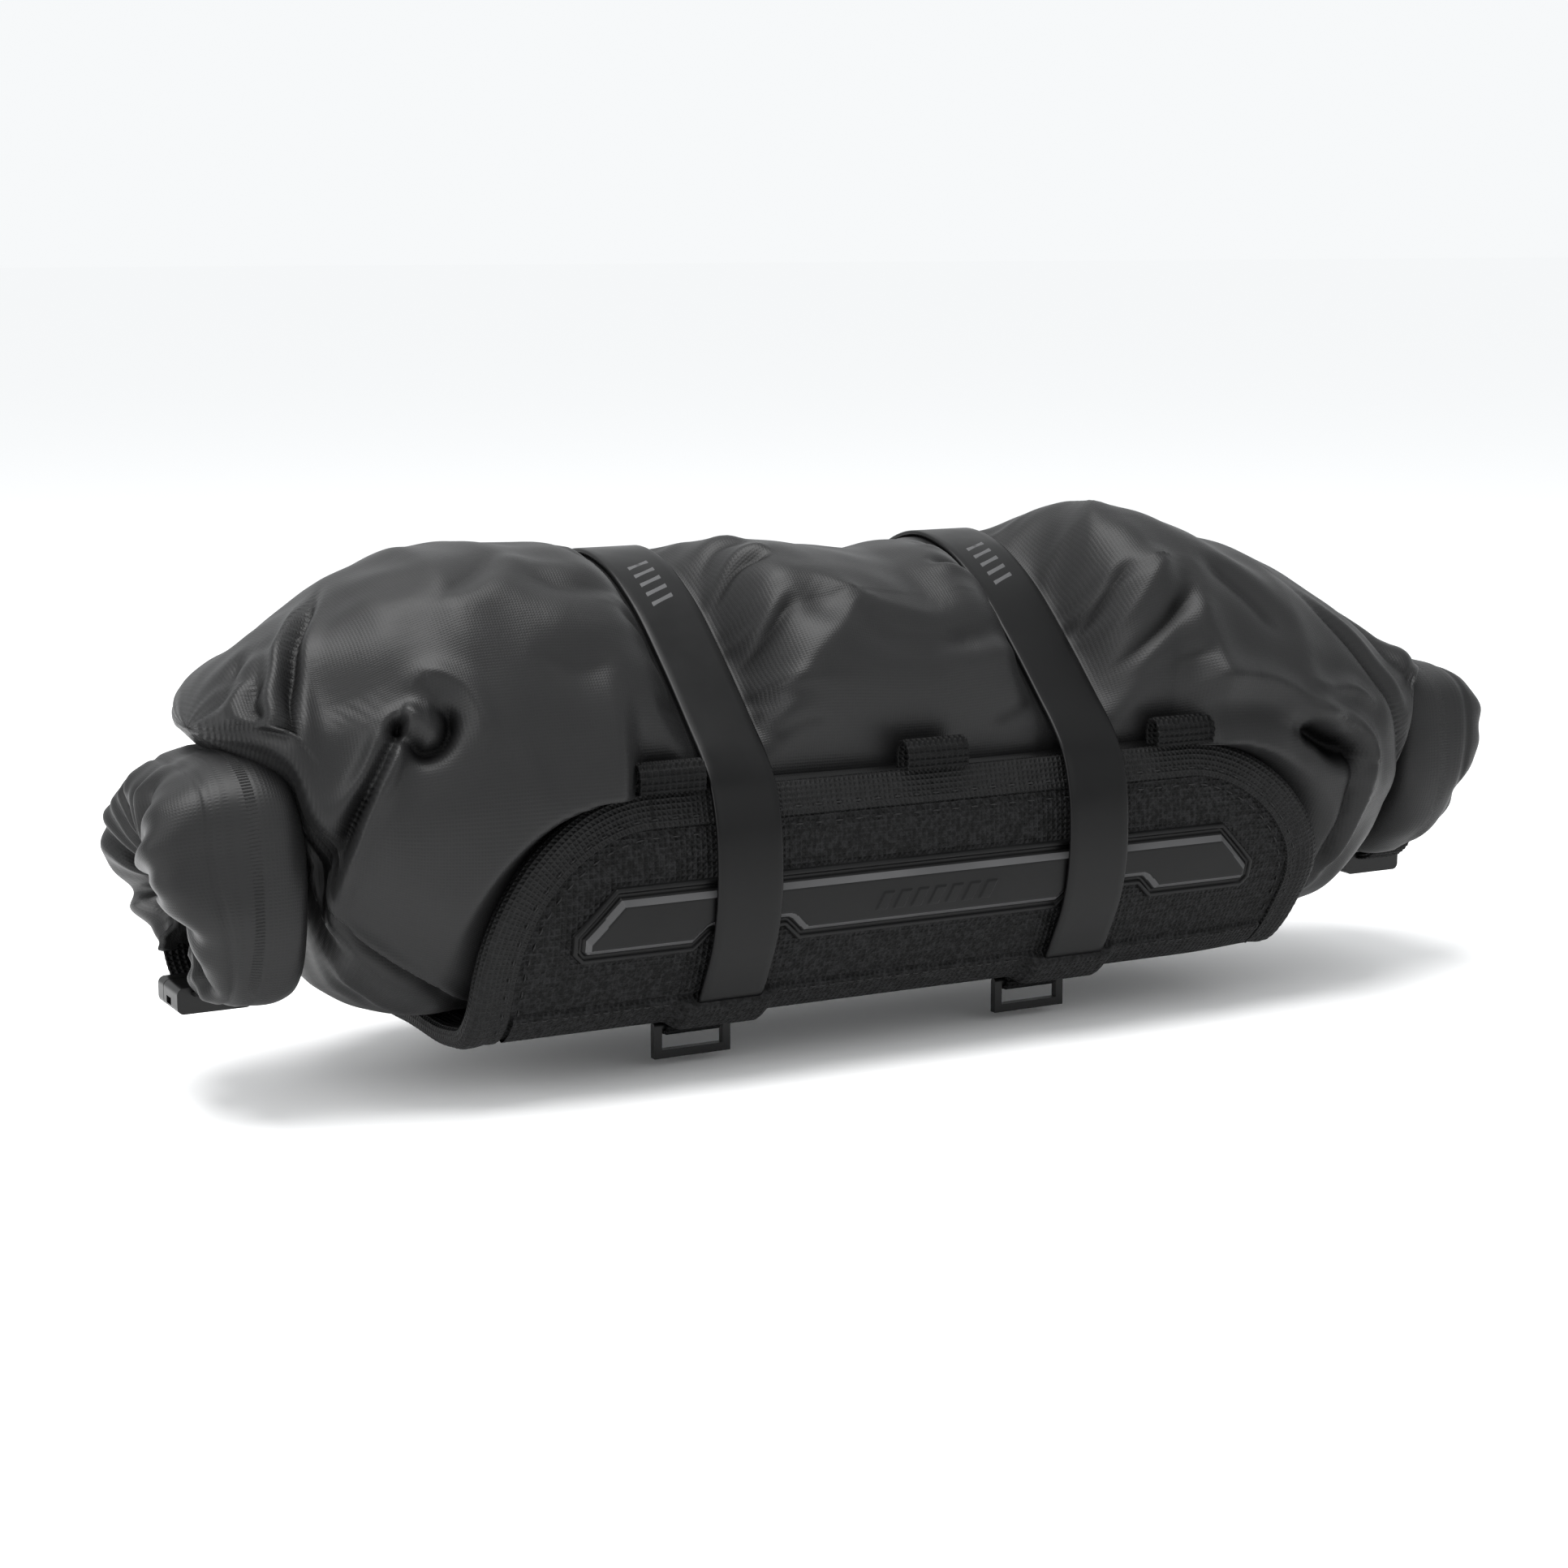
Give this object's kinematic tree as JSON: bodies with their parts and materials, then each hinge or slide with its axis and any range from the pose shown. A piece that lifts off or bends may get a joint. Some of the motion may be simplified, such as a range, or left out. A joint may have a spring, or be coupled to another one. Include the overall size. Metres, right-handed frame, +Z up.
{
  "type": "handlebar roll bag",
  "caption": "Cylindrical dry bag with a rolled closure at each end, cinched by smooth straps into a bound fabric cradle that clamps to a handlebar.",
  "frame": {"origin": "on the handlebar's axis, midway between the bag's two handlebar straps", "axes": "+X along the handlebar and the bag, towards the right end seen from the front, +Y back towards the rider, +Z up; the bag's front faces -Y"},
  "size_m": [0.532, 0.2104, 0.1792],
  "materials": {
    "bag_fabric": "fine coated ripstop, satin",
    "harness_fabric": "coarse woven, matt",
    "liner_fabric": "smooth coated",
    "stiffener_board": "matt",
    "binding_tape": "twill tape",
    "moulded_plate": "matt moulded",
    "smooth_strap": "smooth coated, satin",
    "webbing": "ribbed webbing",
    "buckle_plastic": "satin moulded",
    "rivet_metal": "dark satin",
    "pad_rubber": "matt"
  },
  "bodies": {
    "bag_and_harness": {"harness_outer_skin": "harness_fabric", "harness_stiffener_board": "stiffener_board", "harness_liner": "liner_fabric", "front_edge_binding": "binding_tape", "back_edge_binding": "binding_tape", "bottom_strip": "harness_fabric", "front_plate": "moulded_plate", "strap_rivets": "rivet_metal", "dry_bag_body": "bag_fabric", "mount_panel": "moulded_plate", "webbing_loop_left": "webbing", "webbing_loop_centre": "webbing", "webbing_loop_right": "webbing", "cinch_strap_left": "smooth_strap", "ring_tab_left": "webbing", "left_roll": "bag_fabric", "left_clip_socket": "buckle_plastic", "left_clip_front_tab": "webbing", "left_clip_back_tab": "webbing", "bar_pad_left": "pad_rubber", "bar_strap_left": "webbing", "cam_frame_left": "buckle_plastic", "cam_pin_left": "rivet_metal", "cinch_strap_right": "smooth_strap", "ring_tab_right": "webbing", "right_roll": "bag_fabric", "right_clip_socket": "buckle_plastic", "right_clip_front_tab": "webbing", "right_clip_back_tab": "webbing", "bar_pad_right": "pad_rubber", "bar_strap_right": "webbing", "cam_frame_right": "buckle_plastic", "cam_pin_right": "rivet_metal"},
    "left_clip_half": {"left_clip_plug": "buckle_plastic"},
    "left_ring": {"strap_ring_left": "buckle_plastic"},
    "left_lever": {"cam_lever_left": "buckle_plastic"},
    "right_clip_half": {"right_clip_plug": "buckle_plastic"},
    "right_ring": {"strap_ring_right": "buckle_plastic"},
    "right_lever": {"cam_lever_right": "buckle_plastic"}
  },
  "joints": [
    {"name": "left_clip_release", "type": "slide", "parent": "bag_and_harness", "child": "left_clip_half", "axis": [0, 1, 0], "range_m": [0, 0.0095]},
    {"name": "left_ring_swing", "type": "hinge", "parent": "bag_and_harness", "child": "left_ring", "pos_m": [-0.0755, -0.145, -0.0962], "axis": [1, 0, 0], "range_deg": [-70, 70]},
    {"name": "left_lever_open", "type": "hinge", "parent": "bag_and_harness", "child": "left_lever", "pos_m": [-0.035, -0.018, -0.0231], "axis": [1, 0, 0], "range_deg": [-110, 0]},
    {"name": "right_clip_release", "type": "slide", "parent": "bag_and_harness", "child": "right_clip_half", "axis": [0, 1, 0], "range_m": [0, 0.0095]},
    {"name": "right_ring_swing", "type": "hinge", "parent": "bag_and_harness", "child": "right_ring", "pos_m": [0.0655, -0.145, -0.0962], "axis": [1, 0, 0], "range_deg": [-70, 70]},
    {"name": "right_lever_open", "type": "hinge", "parent": "bag_and_harness", "child": "right_lever", "pos_m": [0.035, -0.018, -0.0231], "axis": [1, 0, 0], "range_deg": [-110, 0]}
  ]
}
